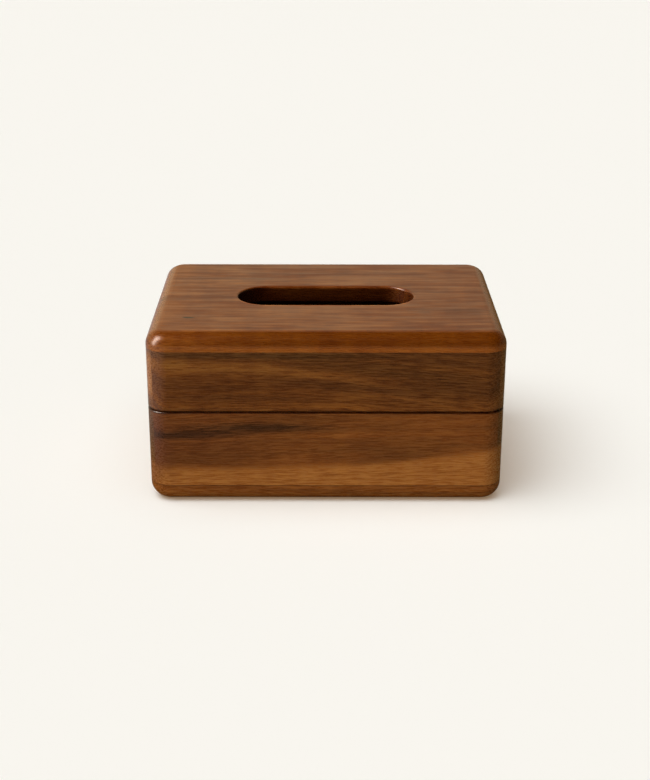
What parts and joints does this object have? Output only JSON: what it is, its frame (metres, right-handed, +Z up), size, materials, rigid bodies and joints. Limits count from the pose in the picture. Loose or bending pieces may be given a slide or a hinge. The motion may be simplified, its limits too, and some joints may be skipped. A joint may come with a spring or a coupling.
{
  "type": "wooden tissue box",
  "caption": "Rectangular wooden tissue box with rounded edges: an open base tray and a lift-off lid with a round-ended slot in its top.",
  "frame": {"origin": "on the supporting surface, under the middle of the bottom panel", "axes": "+Z up, +X along the slot and the box's longest side, -Y out of the front"},
  "size_m": [0.21, 0.15, 0.106],
  "materials": {
    "wood_top": "satin lacquer",
    "wood_lid": "satin lacquer",
    "wood_base": "satin lacquer",
    "magnet": "nickel plated"
  },
  "bodies": {
    "base": {"base_bottom_panel": "wood_base", "base_front_wall": "wood_base", "base_back_wall": "wood_base", "base_left_wall": "wood_base", "base_right_wall": "wood_base", "base_magnet_front_left": "magnet", "base_magnet_front_right": "magnet", "base_magnet_back_left": "magnet", "base_magnet_back_right": "magnet"},
    "lid": {"lid_top_panel": "wood_top", "lid_front_wall": "wood_lid", "lid_back_wall": "wood_lid", "lid_left_wall": "wood_lid", "lid_right_wall": "wood_lid", "lid_magnet_front_left": "magnet", "lid_magnet_front_right": "magnet", "lid_magnet_back_left": "magnet", "lid_magnet_back_right": "magnet"}
  },
  "joints": [
    {"name": "lid_lift", "type": "slide", "parent": "base", "child": "lid", "axis": [0, 0, 1], "range_m": [0, 0.12]}
  ]
}
